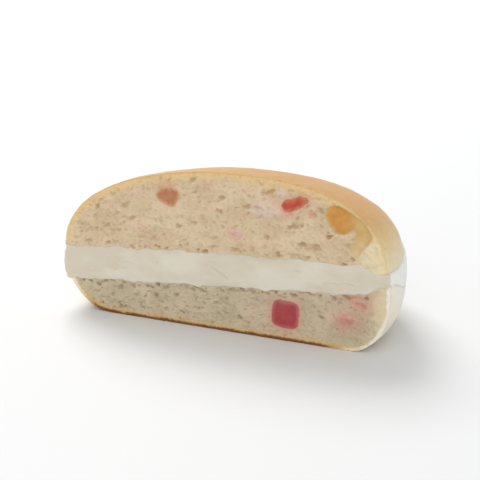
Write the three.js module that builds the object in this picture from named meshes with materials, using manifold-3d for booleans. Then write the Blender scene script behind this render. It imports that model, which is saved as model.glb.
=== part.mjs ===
// Half of a round cream bun, resting on its baked underside with the knife cut facing -Y.
// The bun was split level and filled with whipped cream, then cut down through the middle, so the cut
// shows crown crumb, cream and heel crumb, with candied fruit and one large air pocket in the crumb.
// Millimetres, +Z up, +X to the right as the cut is looked at. The origin is at the middle of the
// underside of the box that holds the half.
import * as THREE from "three";
import { mergeVertices } from "three/addons/utils/BufferGeometryUtils.js";
import Module from "manifold-3d";

const wasm = await Module();
wasm.setup();

const { lerp } = THREE.MathUtils;
const TAU = 2 * Math.PI;

// ---- Driving dimensions ----
const BUN_RADIUS = 51; // plan radius of the whole bun
const CUT_OFFSET = 5; // the bun's centre lies this far behind the cut
const CROWN_HEIGHT = 47; // top of the crown, at the cut
const CROWN_SHIFT = 9; // the crown's top lies this far right of the middle
const CROWN_LEAN = 0.12; // the crown falls this much for each millimetre behind the cut
const CREAM_GAP = 0.3; // air between the cream and each crumb
const FRUIT_GAP = 0.3; // air between a piece of fruit and its socket

// The form differs to the right, to the left and at the back of the bun.
const WIDEST_HEIGHT = { right: 15.5, left: 18.5, back: 17 }; // height of the widest ring
const CROWN_POWER = { right: 2.6, left: 2.15, back: 2.25 }; // 2 is an ellipse, more is squarer
const HEEL_INSET = { right: 12, left: 15, back: 12 }; // widest ring to the edge of the flat base

// Height of the cream's two faces above the base, along the cut: a line or parabola in x.
const CREAM_LOW = { middle: 13.4, slope: 0.085, bow: 0 };
const CREAM_HIGH = { middle: 22.9, slope: 0.065, bow: -0.0003 };
const CREAM_FALL = 0.05; // both fall this much for each millimetre behind the cut
const CREAM_BULGE = 0.9; // the cream stands this far out of the seam, on average
const CREAM_BULGE_WAVE = 0.7; // and its edge wanders by this much
const CREAM_SQUEEZE = 0.2; // extra bulge at the right end, where the knife pressed it out

// Small unevenness of baked and torn surfaces.
const CRUST_WAVE = 0.35;
const CRUMB_WAVE = 0.32;

// Mesh density.
const AROUND = 88;
const CROWN_ROWS = 15;
const HEEL_ROWS = 6;
const SLICE_GRID = { x: 46, y: 24 };

const COLOURS = {
  crumb: 0xe6d3b4,
  cream: 0xf3ecdc,
  heel: 0xdcc8a6,
  red: 0xb5434a,
  coral: 0xc4503f,
  pink: 0xd08a84,
};

// ---- Shape of the bun ----

// A value that passes from its right to its left through its back as the angle turns about +Z.
function roundabout(value, angle) {
  const side = lerp(value.left, value.right, (1 + Math.cos(angle)) / 2);
  return lerp(side, value.back, Math.sin(angle) ** 2);
}

// Plan radius of the widest ring, a little out of round.
const ringRadius = (angle) =>
  BUN_RADIUS + CRUST_WAVE * (Math.sin(3 * angle + 0.6) + 0.6 * Math.sin(5 * angle + 2));

// A point of the crown: rise is 0 at the widest ring and 1 at the top.
function crownPoint(angle, rise) {
  const power = 2 / roundabout(CROWN_POWER, angle);
  const out = Math.cos((rise * Math.PI) / 2) ** power;
  const up = Math.sin((rise * Math.PI) / 2) ** power;
  const x = lerp(CROWN_SHIFT, ringRadius(angle) * Math.cos(angle), out);
  const y = lerp(-CUT_OFFSET / 2, CUT_OFFSET + ringRadius(angle) * Math.sin(angle), out);
  const widest = roundabout(WIDEST_HEIGHT, angle);
  const crown = CROWN_HEIGHT - CROWN_LEAN * y - widest;
  const wave = CRUST_WAVE * up * Math.sin(x / 8 + 1) * Math.sin(y / 9 + 0.4);
  return new THREE.Vector3(x, y, widest + crown * up + wave);
}

// A point of the heel: drop is 0 at the widest ring and 1 at the edge of the flat base.
function heelPoint(angle, drop) {
  const turn = (drop * Math.PI) / 2;
  const radius = ringRadius(angle) - roundabout(HEEL_INSET, angle) * (1 - Math.cos(turn));
  return new THREE.Vector3(
    radius * Math.cos(angle),
    CUT_OFFSET + radius * Math.sin(angle),
    roundabout(WIDEST_HEIGHT, angle) * (1 - Math.sin(turn)),
  );
}

// Height of one of the cream's faces at a place in plan.
function creamHeight({ middle, slope, bow }, x, y) {
  const wave = CRUMB_WAVE * (Math.sin(x / 3.1 + y / 7) + 0.6 * Math.sin(x / 1.7 - y / 5 + 2));
  return middle + slope * x + bow * x * x - CREAM_FALL * y + wave;
}

// Height in the cream over a place in plan: across is -1 at its lower face and 1 at its upper one.
function creamLevel(x, y, across) {
  return lerp(creamHeight(CREAM_LOW, x, y), creamHeight(CREAM_HIGH, x, y), (1 + across) / 2);
}

// Height of the crust along the cut.
function crustHeight(x) {
  const side = x > CROWN_SHIFT ? "right" : "left";
  const end = Math.sign(x - CROWN_SHIFT) * Math.sqrt(BUN_RADIUS ** 2 - CUT_OFFSET ** 2);
  const out = Math.min(1, (x - CROWN_SHIFT) / (end - CROWN_SHIFT));
  const power = CROWN_POWER[side];
  const widest = WIDEST_HEIGHT[side];
  return widest + (CROWN_HEIGHT - widest) * (1 - out ** power) ** (1 / power);
}

// ---- From three.js geometry to solids and back ----

function solidOf(geometry) {
  const bare = geometry.clone();
  bare.deleteAttribute("normal");
  bare.deleteAttribute("uv");
  const merged = mergeVertices(bare, 1e-4);
  return new wasm.Manifold(
    new wasm.Mesh({
      numProp: 3,
      vertProperties: merged.getAttribute("position").array,
      triVerts: new Uint32Array(merged.index.array),
    }),
  );
}

function geometryOf(solid) {
  const { numProp, vertProperties, triVerts } = solid.getMesh();
  const points = new Float32Array((vertProperties.length / numProp) * 3);
  for (let i = 0; i < points.length / 3; i++) {
    points.set(vertProperties.subarray(i * numProp, i * numProp + 3), i * 3);
  }
  return new THREE.BufferGeometry()
    .setAttribute("position", new THREE.BufferAttribute(points, 3))
    .setIndex(new THREE.BufferAttribute(triVerts, 1));
}

// A lathe whose rows are moved to the points that place(angle, row) gives, bottom row first.
function moulded(rowCount, place) {
  const profile = Array.from({ length: rowCount }, (_, row) => new THREE.Vector2(1, row));
  const geometry = new THREE.LatheGeometry(profile, AROUND);
  const position = geometry.getAttribute("position");
  for (let column = 0; column <= AROUND; column++) {
    const angle = ((column % AROUND) * TAU) / AROUND;
    for (let row = 0; row < rowCount; row++) {
      const point = place(angle, row);
      position.setXYZ(column * rowCount + row, point.x, point.y, point.z);
    }
  }
  return geometry;
}

// ---- Solids that shape the pieces ----

// The whole bun as baked: base centre, heel, widest ring, crown.
function bakedBun() {
  const widestRow = HEEL_ROWS + 1;
  return solidOf(
    moulded(widestRow + CROWN_ROWS + 1, (angle, row) => {
      if (row === 0) return new THREE.Vector3(0, CUT_OFFSET, 0);
      if (row <= widestRow) return heelPoint(angle, (widestRow - row) / HEEL_ROWS);
      return crownPoint(angle, (row - widestRow) / CROWN_ROWS);
    }),
  );
}

// How far the cream stands out of the seam at an angle.
function creamBulge(angle) {
  const squeezeSpread = 0.35; // radians
  const wave = 0.6 * Math.sin(4 * angle + 1.1) + 0.4 * Math.sin(9 * angle + 0.3);
  const fromRightEnd = angle > Math.PI ? angle - TAU : angle;
  const squeeze = CREAM_SQUEEZE * Math.exp(-((fromRightEnd / squeezeSpread) ** 2));
  return CREAM_BULGE + CREAM_BULGE_WAVE * wave + squeeze;
}

// A disc of cream with a swollen edge, taller than the seam, before it is sliced to the seam.
function creamDisc() {
  const edgeRows = 8;
  const overreach = 1.3; // the disc's edge runs past the seam's half height by this factor
  const tuck = 0.7; // the cream's faces meet the crumb this far inside the crust
  const lastRow = edgeRows + 2; // the first and last rows are the disc's poles
  return solidOf(
    moulded(lastRow + 1, (angle, row) => {
      const across = overreach * THREE.MathUtils.clamp((2 * (row - 1)) / edgeRows - 1, -1, 1);
      if (row === 0 || row === lastRow) {
        return new THREE.Vector3(0, CUT_OFFSET, creamLevel(0, CUT_OFFSET, across));
      }
      const rim = heelPoint(angle, 0);
      const radius = ringRadius(angle) - tuck + creamBulge(angle) * (1 - across * across);
      const z = creamLevel(rim.x, rim.y, across);
      return new THREE.Vector3(radius * Math.cos(angle), CUT_OFFSET + radius * Math.sin(angle), z);
    }),
  );
}

// Everything below one of the cream's faces, moved up or down by offset.
function below(face, offset) {
  const span = 2.6 * BUN_RADIUS;
  const floor = -5;
  const block = new THREE.BoxGeometry(span, span, 1, SLICE_GRID.x, SLICE_GRID.y, 1);
  const position = block.getAttribute("position");
  for (let i = 0; i < position.count; i++) {
    const x = position.getX(i);
    const y = position.getY(i) + CUT_OFFSET;
    const z = position.getZ(i) > 0 ? creamHeight(face, x, y) + offset : floor;
    position.setXYZ(i, x, y, z);
  }
  return solidOf(block);
}

// Everything in front of the knife's path.
function knifeSide() {
  const size = 4 * BUN_RADIUS;
  return solidOf(new THREE.BoxGeometry(size, size, size).translate(0, -size / 2, 0));
}

// ---- Fruit and holes ----

// Pieces of candied fruit that the knife went through: middle on the cut, half sizes and tilt.
const FRUIT = [
  { name: "fruit_cube", x: 20.3, z: 7.9, half: [4.1, 3.4, 4.1], tilt: 0.06, power: 4.2, colour: "red" },
  { name: "fruit_chunk", x: 23, z: 40.6, half: [4.5, 2.8, 2.2], tilt: -0.42, power: 2.6, colour: "coral" },
  { name: "fruit_wedge", x: -16.2, z: 38.2, half: [3.7, 2.8, 3.1], tilt: 0.3, power: 2.8, colour: "coral" },
  { name: "fruit_fleck_high", x: 42.6, z: 14.2, half: [2.7, 1.8, 1.5], tilt: 0.25, power: 2.2, colour: "pink" },
  { name: "fruit_fleck_low", x: 38.6, z: 8.8, half: [3, 1.8, 2], tilt: -0.1, power: 2.2, colour: "pink" },
];

// Air pocket under the crust: two joined bubbles.
const POCKET = [
  { x: 36.6, z: 37.8, half: [4.5, 6, 3.9], tilt: 0.4 },
  { x: 41.8, z: 32.6, half: [3, 4.2, 4.9], tilt: 0.12 },
];

// A rounded block: a sphere pushed out towards a box by the power, turned by tilt in the cut's plane.
function roundedBlock({ x, z, half, tilt, power = 2 }, grow, detail) {
  const geometry = new THREE.IcosahedronGeometry(1, detail);
  const position = geometry.getAttribute("position");
  const point = new THREE.Vector3();
  for (let i = 0; i < position.count; i++) {
    point.fromBufferAttribute(position, i);
    const sum = Math.abs(point.x) ** power + Math.abs(point.y) ** power + Math.abs(point.z) ** power;
    point.multiplyScalar(1 / sum ** (1 / power));
    position.setXYZ(i, ...point.toArray().map((value, axis) => value * (half[axis] + grow)));
  }
  return geometry.rotateY(tilt).translate(x, 0, z);
}

// Repeatable draws between 0 and 1.
function seededDraws(seed) {
  let state = seed;
  return () => {
    state = (state * 1664525 + 1013904223) % 4294967296;
    return state / 4294967296;
  };
}

// The larger pores that the knife opened: half height, length over height, depth over height,
// steepest tilt, and the crumb left round each one.
const PORE = { size: [0.45, 1.15], stretch: [1, 1.9], depth: 1.2, tilt: 0.5, clear: 1.1 };

// Where they lie on the cut: how many, half the stretch along it, and the lowest and highest place.
const CROWN_PORES = {
  count: 34,
  seed: 11,
  reach: 44,
  low: (x) => creamHeight(CREAM_HIGH, x, 0) + 2,
  high: (x) => crustHeight(x) - 3.5,
};
const HEEL_PORES = {
  count: 16,
  seed: 5,
  reach: 38,
  low: () => 2.5,
  high: (x) => creamHeight(CREAM_LOW, x, 0) - 2,
};

// Pores scattered over a zone, clear of fruit, pocket and each other.
function pores({ count, seed, reach, low, high }) {
  const draw = seededDraws(seed);
  const triesEach = 40;
  const placed = [...FRUIT, ...POCKET].map(({ x, z, half }) => ({ x, z, far: Math.max(half[0], half[2]) }));
  const made = [];
  for (let tries = 0; made.length < count && tries < triesEach * count; tries++) {
    const x = lerp(-reach, reach, draw());
    const z = lerp(low(x), high(x), draw());
    const size = lerp(...PORE.size, draw() ** 2);
    const far = size * lerp(...PORE.stretch, draw());
    const blocked = ({ x: otherX, z: otherZ, far: otherFar }) =>
      Math.hypot(x - otherX, z - otherZ) < otherFar + far + PORE.clear;
    if (placed.some(blocked)) continue;
    placed.push({ x, z, far });
    const half = [far, size * PORE.depth, size];
    made.push(solidOf(roundedBlock({ x, z, half, tilt: lerp(-PORE.tilt, PORE.tilt, draw()) }, 0, 1)));
  }
  return wasm.Manifold.union(made);
}

// ---- Assembly ----

const bun = bakedBun();
const knife = knifeSide();
const sockets = wasm.Manifold.union(FRUIT.map((piece) => solidOf(roundedBlock(piece, FRUIT_GAP, 2))));
const pocket = wasm.Manifold.union(POCKET.map((bubble) => solidOf(roundedBlock(bubble, 0, 3))));

const solids = {
  bun_crown: bun
    .subtract(below(CREAM_HIGH, CREAM_GAP))
    .subtract(sockets)
    .subtract(pocket)
    .subtract(pores(CROWN_PORES))
    .subtract(knife),
  cream_filling: creamDisc()
    .intersect(below(CREAM_HIGH, 0))
    .subtract(below(CREAM_LOW, 0))
    .subtract(knife),
  bun_heel: bun
    .intersect(below(CREAM_LOW, -CREAM_GAP))
    .subtract(sockets)
    .subtract(pores(HEEL_PORES))
    .subtract(knife),
};
for (const piece of FRUIT) {
  solids[piece.name] = solidOf(roundedBlock(piece, 0, 2)).subtract(knife);
}

const colourOf = {
  bun_crown: COLOURS.crumb,
  cream_filling: COLOURS.cream,
  bun_heel: COLOURS.heel,
  ...Object.fromEntries(FRUIT.map(({ name, colour }) => [name, COLOURS[colour]])),
};

const creamBun = new THREE.Group();
for (const [name, solid] of Object.entries(solids)) {
  const roughness = name === "cream_filling" ? 0.4 : 0.8;
  const material = new THREE.MeshStandardMaterial({ color: colourOf[name], roughness, metalness: 0 });
  const mesh = new THREE.Mesh(geometryOf(solid), material);
  mesh.name = name;
  creamBun.add(mesh);
}

// Bring the middle of the underside to the origin.
const middle = new THREE.Box3().setFromObject(creamBun).getCenter(new THREE.Vector3());
creamBun.position.set(-middle.x, -middle.y, 0);

export default creamBun;
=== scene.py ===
"""Half of a round cream bun, cut through with a knife and resting on its baked underside.

Shapes are worked out in millimetres in the bun's own measure: the cut is the plane y = 0, x = 0 is its
middle, +Y runs back into the bun and z = 0 is what it rests on. Each finished mesh is then brought into
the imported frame, in metres. The bun's sizes are those of its solids.
"""

import logging
import math
import random
from collections.abc import Callable, Iterable, Sequence
from dataclasses import dataclass, field, replace
from enum import Enum

import bmesh
import bpy
import numpy as np
from mathutils import Matrix, Vector, noise
from mathutils.bvhtree import BVHTree

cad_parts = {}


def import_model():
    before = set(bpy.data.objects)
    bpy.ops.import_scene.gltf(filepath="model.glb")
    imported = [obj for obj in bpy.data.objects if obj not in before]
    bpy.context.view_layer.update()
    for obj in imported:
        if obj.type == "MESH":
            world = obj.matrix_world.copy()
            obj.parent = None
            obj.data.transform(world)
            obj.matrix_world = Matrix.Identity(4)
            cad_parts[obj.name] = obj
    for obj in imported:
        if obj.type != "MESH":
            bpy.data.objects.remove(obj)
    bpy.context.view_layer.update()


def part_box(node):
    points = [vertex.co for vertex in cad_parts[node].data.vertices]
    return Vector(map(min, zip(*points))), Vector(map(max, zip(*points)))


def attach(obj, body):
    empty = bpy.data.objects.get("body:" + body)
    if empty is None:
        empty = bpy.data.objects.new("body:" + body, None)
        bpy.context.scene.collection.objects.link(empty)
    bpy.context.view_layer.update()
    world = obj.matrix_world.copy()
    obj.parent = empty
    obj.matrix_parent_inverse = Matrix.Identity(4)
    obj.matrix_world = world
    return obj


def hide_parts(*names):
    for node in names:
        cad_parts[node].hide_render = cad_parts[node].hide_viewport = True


MM = 0.001
TAU = 2 * math.pi
ROOT = "root"
TOWARDS_KNIFE = Vector((0, -1, 0))
# Points nearer together than this are merged, in millimetres.
MERGE_WITHIN = 0.08
# Points off a sharp face by less than this share of a face's size are laid onto it.
SQUARE_WITHIN = 0.55
# The fruit's faces are this share of the crumb's in size.
FRUIT_FACES = 0.45
# Added to a seed where the same noise is needed a second time.
OTHER_SEED = 40

log = logging.getLogger("cream_bun")

Colour = tuple[float, float, float]
# Where a smooth passage from 0 to 1 starts and ends.
Fade = tuple[float, float]
Place = Callable[[np.ndarray, np.ndarray], np.ndarray]


# ---- Small helpers ----


def srgb(red: int, green: int, blue: int) -> Colour:
    """Turns a colour of 0 to 255 as a screen shows it into linear light."""
    return tuple(
        value / 12.92 if value <= 0.04045 else ((value + 0.055) / 1.055) ** 2.4
        for value in (red / 255, green / 255, blue / 255)
    )


def smoothstep(start: float, end: float, value: np.ndarray) -> np.ndarray:
    """Passes smoothly from 0 at start to 1 at end, in either direction."""
    share = np.clip((value - start) / (end - start), 0, 1)
    return share * share * (3 - 2 * share)


def wobble(points: np.ndarray, size: float, seed: float) -> np.ndarray:
    """Gives smooth noise of about -1 to 1 at each point.

    Args:
        points: places in millimetres, one row each.
        size: how far apart the noise's swells lie, in millimetres.
        seed: moves the noise, so that two uses differ.

    Returns:
        One value for each point.
    """
    shifted = points / size + seed
    return np.array([noise.noise(Vector(place)) for place in shifted])


@dataclass(frozen=True)
class Swell:
    """Smooth noise: how far apart its swells lie, how far it swings either way, and its seed."""

    size: float
    swing: float
    seed: float

    def at(self, points: np.ndarray) -> np.ndarray:
        """Gives how far it swings at each point."""
        return self.swing * wobble(points, self.size, self.seed)

    def bend(self, points: np.ndarray) -> np.ndarray:
        """Moves places sideways on the cut, so that what is drawn there comes out less regular."""
        upward = replace(self, seed=self.seed + OTHER_SEED)
        moved = points.copy()
        moved[:, 0] += self.at(points)
        moved[:, 2] += upward.at(points)
        return moved


def swung(points: np.ndarray, swells: Iterable[Swell]) -> np.ndarray:
    """Adds up noise of several sizes at each point."""
    return sum(swell.at(points) for swell in swells)


# ---- The bun's form ----


@dataclass(frozen=True)
class Round:
    """A size that differs to the right, to the left and at the back of the bun."""

    right: float
    left: float
    back: float

    def at(self, angle: np.ndarray) -> np.ndarray:
        """Gives the size at each angle about +Z."""
        side = self.left + (self.right - self.left) * (1 + np.cos(angle)) / 2
        return side + (self.back - side) * np.sin(angle) ** 2

    def side(self, right: bool) -> float:
        """Gives the size at one end of the cut."""
        return self.right if right else self.left


@dataclass(frozen=True)
class SeamFace:
    """One of the cream's two faces: its height over a place in plan.

    The curl is how far it rises at the right end, where the baked edges close in on the cream. It grows
    along the cut from curl_from to curl_to. Behind the cut it is whole as far as curl_whole and has gone
    at curl_back. The short waves that the knife left fade over knife_fade behind the cut.
    """

    middle: float
    slope: float
    bow: float
    curl: float
    curl_from: float
    curl_to: float
    curl_back: float
    curl_whole: float = 2.0
    fall: float = 0.05
    wave: float = 0.2
    knife_fade: Fade = (4.0, 0.5)

    def level(self, x: np.ndarray, y: np.ndarray) -> np.ndarray:
        """Gives the height of the flat face without bow and waves."""
        return self.middle + self.slope * x - self.fall * y

    def ripple(self, x: np.ndarray, y: np.ndarray) -> np.ndarray:
        """Gives the bow, curl and waves on top of the flat face, with short ones where the knife went."""
        long_waves = np.sin(x / 3.1 + y / 7) + 0.6 * np.sin(x / 1.7 - y / 5 + 2)
        short_waves = 0.5 * np.sin(x / 0.83 + self.middle) + 0.35 * np.sin(x / 0.47)
        waves = self.wave * (long_waves + smoothstep(*self.knife_fade, y) * short_waves)
        curl = self.curl * smoothstep(self.curl_from, self.curl_to, x)
        return self.bow * x * x + curl * smoothstep(self.curl_back, self.curl_whole, y) + waves

    def on_cut(self, x: float) -> float:
        """Gives the height along the cut, with bow and waves."""
        return float(self.level(x, 0.0) + self.ripple(x, 0.0))

    def plane(self, rise: float) -> tuple[Vector, Vector]:
        """Gives a point and the upward normal of the flat face, raised by rise."""
        return Vector((0, 0, self.middle + rise)), Vector((-self.slope, self.fall, 1)).normalized()


@dataclass(frozen=True)
class BunForm:
    """The whole bun as baked, before it is split and cut."""

    radius: float = 51.0
    cut_offset: float = 5.0
    crown_height: float = 47.0
    crown_shift: float = 9.0
    crown_lean: float = 0.12
    crust_wave: float = 0.35
    widest: Round = Round(15.5, 18.5, 17.0)
    crown_power: Round = Round(2.6, 2.15, 2.25)
    heel_inset: Round = Round(12.0, 15.0, 12.0)
    cream_low: SeamFace = SeamFace(13.4, 0.085, 0.0, curl=2.7, curl_from=43.5, curl_to=49.0, curl_back=11.0)
    cream_high: SeamFace = SeamFace(
        22.9, 0.065, -0.0003, curl=-1.7, curl_from=41.0, curl_to=47.5, curl_back=40.0
    )
    columns: int = 256
    heel_rows: int = 20
    crown_rows: int = 56

    @property
    def half_cut(self) -> float:
        """Half the length of the cut."""
        return math.sqrt(self.radius**2 - self.cut_offset**2)

    def ring_radius(self, angle: np.ndarray) -> np.ndarray:
        """Gives the plan radius of the widest ring, a little out of round."""
        unevenness = np.sin(3 * angle + 0.6) + 0.6 * np.sin(5 * angle + 2)
        return self.radius + self.crust_wave * unevenness

    def crown_points(self, angle: np.ndarray, rise: np.ndarray) -> np.ndarray:
        """Gives points of the crown.

        Args:
            angle: about +Z, from the right end.
            rise: 0 at the widest ring and 1 at the top.

        Returns:
            One row of x, y and z for each pair.
        """
        power = 2 / self.crown_power.at(angle)
        turn = np.clip(rise, 0, 1) * np.pi / 2
        out = np.clip(np.cos(turn), 0, 1) ** power
        up = np.sin(turn) ** power
        ring = self.ring_radius(angle)
        x = self.crown_shift + (ring * np.cos(angle) - self.crown_shift) * out
        top_y = -self.cut_offset / 2
        y = top_y + (self.cut_offset + ring * np.sin(angle) - top_y) * out
        widest = self.widest.at(angle)
        crown = self.crown_height - self.crown_lean * y - widest
        wave = self.crust_wave * up * np.sin(x / 8 + 1) * np.sin(y / 9 + 0.4)
        return np.stack([x, y, widest + crown * up + wave], axis=1)

    def heel_points(self, angle: np.ndarray, drop: np.ndarray) -> np.ndarray:
        """Gives points of the heel.

        Args:
            angle: about +Z, from the right end.
            drop: 0 at the widest ring and 1 at the edge of the flat base.

        Returns:
            One row of x, y and z for each pair.
        """
        turn = np.clip(drop, 0, 1) * np.pi / 2
        radius = self.ring_radius(angle) - self.heel_inset.at(angle) * (1 - np.cos(turn))
        height = self.widest.at(angle) * (1 - np.sin(turn))
        return np.stack([radius * np.cos(angle), self.cut_offset + radius * np.sin(angle), height], axis=1)

    def baked_points(self, angle: np.ndarray, row: np.ndarray) -> np.ndarray:
        """Gives the whole bun's skin: base centre, heel, widest ring, crown."""
        widest_row = self.heel_rows + 1
        heel = self.heel_points(angle, (widest_row - row) / self.heel_rows)
        crown = self.crown_points(angle, (row - widest_row) / self.crown_rows)
        points = np.where((row <= widest_row)[:, None], heel, crown)
        points[row == 0] = (0, self.cut_offset, 0)
        return points

    def baked(self) -> bmesh.types.BMesh:
        """Makes the whole bun as one closed skin."""
        return lathe(self.heel_rows + self.crown_rows + 2, self.columns, self.baked_points)

    def crust_height(self, x: float) -> float:
        """Gives the height of the crown's crust along the cut."""
        right = x > self.crown_shift
        end = self.half_cut if right else -self.half_cut
        out = min(1.0, (x - self.crown_shift) / (end - self.crown_shift))
        power = self.crown_power.side(right)
        widest = self.widest.side(right)
        return widest + (self.crown_height - widest) * (1 - out**power) ** (1 / power)

    def base_height(self, x: float) -> float:
        """Gives the height of the heel's crust along the cut, which is 0 over the flat base."""
        inset = self.heel_inset.side(x > 0)
        past = min(1.0, max(0.0, abs(x) - (self.half_cut - inset)) / inset)
        return self.widest.side(x > 0) * (1 - math.sqrt(1 - past**2))


# ---- Bench work on meshes ----


def lathe(rows: int, columns: int, place: Place) -> bmesh.types.BMesh:
    """Spins an upright line round +Z into a closed skin and moves its points where they belong.

    Args:
        rows: points of the line. Its first and last are the poles.
        columns: steps of the full turn.
        place: gives the final points for angles and rows.

    Returns:
        The closed skin, with its faces pointing out.
    """
    skin = bmesh.new()
    line = [skin.verts.new((0 if row in (0, rows - 1) else 1, 0, row)) for row in range(rows)]
    edges = [skin.edges.new(pair) for pair in zip(line, line[1:])]
    bmesh.ops.spin(
        skin, geom=line + edges, cent=(0, 0, 0), axis=(0, 0, 1), angle=TAU, steps=columns, use_merge=True
    )
    bmesh.ops.remove_doubles(skin, verts=skin.verts[:], dist=1e-4)
    points = np.array([vert.co for vert in skin.verts])
    placed = place(np.arctan2(points[:, 1], points[:, 0]), np.rint(points[:, 2]))
    for vert, point in zip(skin.verts, placed):
        vert.co = point
    bmesh.ops.recalc_face_normals(skin, faces=skin.faces[:])
    return skin


def slice_off(shape: bmesh.types.BMesh, point: Vector, normal: Vector) -> None:
    """Cuts away what lies on a plane's normal side and closes the cut.

    Args:
        shape: the closed shape to cut.
        point: any point of the plane.
        normal: points to the side that goes.
    """
    everything = shape.verts[:] + shape.edges[:] + shape.faces[:]
    bmesh.ops.bisect_plane(shape, geom=everything, plane_co=point, plane_no=normal, clear_outer=True)
    rim = [edge for edge in shape.edges if edge.is_boundary]
    bmesh.ops.holes_fill(shape, edges=rim, sides=0)
    bmesh.ops.recalc_face_normals(shape, faces=shape.faces[:])


def bench_object(name: str, shape: bmesh.types.BMesh) -> bpy.types.Object:
    """Puts a shape on the bench as an object, and frees the shape."""
    mesh = bpy.data.meshes.new(name)
    shape.to_mesh(mesh)
    shape.free()
    made = bpy.data.objects.new(name, mesh)
    bpy.context.scene.collection.objects.link(made)
    return made


def evened(name: str, shape: bmesh.types.BMesh, voxel: float) -> bpy.types.Mesh:
    """Gives a closed shape small even faces.

    Args:
        name: name of the mesh.
        shape: the closed shape, which is used up.
        voxel: size of the faces, in millimetres.

    Returns:
        The mesh, in millimetres.
    """
    body = bench_object(name, shape)
    even = body.modifiers.new("even", "REMESH")
    even.mode = "VOXEL"
    even.voxel_size = voxel
    bpy.context.view_layer.update()
    graph = bpy.context.evaluated_depsgraph_get()
    mesh = bpy.data.meshes.new_from_object(body.evaluated_get(graph))
    data = body.data
    bpy.data.objects.remove(body)
    bpy.data.meshes.remove(data)
    return mesh


def refine_cut(mesh: bpy.types.Mesh, deep: float, cuts: int) -> None:
    """Merges points that fell together, clears away the flaps this leaves and splits the cut's faces.

    Args:
        mesh: the mesh, in millimetres.
        deep: how far behind the cut faces are split.
        cuts: how many new points each of their edges gets.
    """
    shape = bmesh.new()
    shape.from_mesh(mesh)
    bmesh.ops.remove_doubles(shape, verts=shape.verts[:], dist=MERGE_WITHIN)
    flaps = [face for face in shape.faces if any(edge.is_boundary for edge in face.edges)]
    bmesh.ops.delete(shape, geom=flaps, context="FACES")
    near = [face for face in shape.faces if all(vert.co.y < deep for vert in face.verts)]
    edges = list(dict.fromkeys(edge for face in near for edge in face.edges))
    bmesh.ops.subdivide_edges(shape, edges=edges, cuts=cuts, use_grid_fill=True)
    shape.to_mesh(mesh)
    shape.free()


def turned(x: float, z: float, tilt: float) -> Matrix:
    """Gives the move that tilts a shape on the cut and sets it at x and z."""
    return Matrix.Translation((x, 0, z)) @ Matrix.Rotation(tilt, 4, "Y")


class Skin:
    """A mesh's points as an array, with the named values that its material reads."""

    def __init__(self, mesh: bpy.types.Mesh) -> None:
        """Reads the points of the mesh."""
        self.mesh = mesh
        flat = np.empty(len(mesh.vertices) * 3)
        mesh.vertices.foreach_get("co", flat)
        self.points = flat.reshape(-1, 3)

    def nearest(self, tree: BVHTree) -> tuple[np.ndarray, np.ndarray]:
        """Measures each point against another skin.

        Args:
            tree: the other skin.

        Returns:
            The distance of each point, and the normal of the skin nearest to it.
        """
        distance = np.zeros(len(self.points))
        normal = np.zeros((len(self.points), 3))
        for index, point in enumerate(self.points):
            _, way, _, far = tree.find_nearest(point)
            distance[index] = far
            normal[index] = way
        return distance, normal

    def draw_to(self, tree: BVHTree, reach: float) -> None:
        """Lays the points within reach of another skin onto it."""
        for index, point in enumerate(self.points):
            place, _, _, _ = tree.find_nearest(point, reach)
            if place is not None:
                self.points[index] = place

    def flatten(self, axis: int, level: np.ndarray | float, reach: float) -> None:
        """Lays the points within reach of a face onto it, along one axis."""
        values = self.points[:, axis]
        self.points[:, axis] = np.where(np.abs(values - level) < reach, level, values)

    def store(self, name: str, values: np.ndarray) -> None:
        """Keeps one value for each point under a name."""
        attribute = self.mesh.attributes.new(name, "FLOAT", "POINT")
        attribute.data.foreach_set("value", values.astype(np.float32))

    def settle(self) -> None:
        """Writes the moved points back into the mesh."""
        self.mesh.vertices.foreach_set("co", self.points.astype(np.float32).ravel())
        self.mesh.update()


@dataclass(frozen=True)
class Homing:
    """Brings finished meshes from the bun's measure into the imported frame."""

    origin: Vector

    @classmethod
    def from_frame(cls, cube_x: float) -> "Homing":
        """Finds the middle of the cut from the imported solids.

        Args:
            cube_x: where the cube of fruit lies along the cut, in millimetres.

        Returns:
            The way home.
        """
        crown_low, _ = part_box("bun_crown")
        cube_low, cube_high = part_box("fruit_cube")
        return cls(Vector(((cube_low.x + cube_high.x) / 2 - cube_x * MM, crown_low.y, 0)))

    def point(self, x: float, y: float, z: float) -> Vector:
        """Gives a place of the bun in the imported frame."""
        return self.origin + Vector((x, y, z)) * MM

    def finish(
        self,
        name: str,
        mesh: bpy.types.Mesh,
        material: bpy.types.Material,
        slot: str,
        nodes: Sequence[str] = (),
    ) -> bpy.types.Object:
        """Places and dresses a piece and ties it to the frame.

        Args:
            name: name of the piece.
            mesh: its mesh, in millimetres.
            material: its finish.
            slot: the record's slot that the finish goes by; not used.
            nodes: the solids that the piece stands for.

        Returns:
            The finished piece.
        """
        mesh.transform(Matrix.Translation(self.origin) @ Matrix.Scale(MM, 4))
        mesh.name = name
        mesh.shade_smooth()
        mesh.materials.clear()
        mesh.materials.append(material)
        piece = bpy.data.objects.new(name, mesh)
        bpy.context.scene.collection.objects.link(piece)
        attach(piece, ROOT)
        if nodes:
            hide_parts(*nodes)
        triangles = sum(len(face.vertices) - 2 for face in mesh.polygons)
        log.info("%s: %d triangles", name, triangles)
        return piece


# ---- Finishes ----


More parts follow.
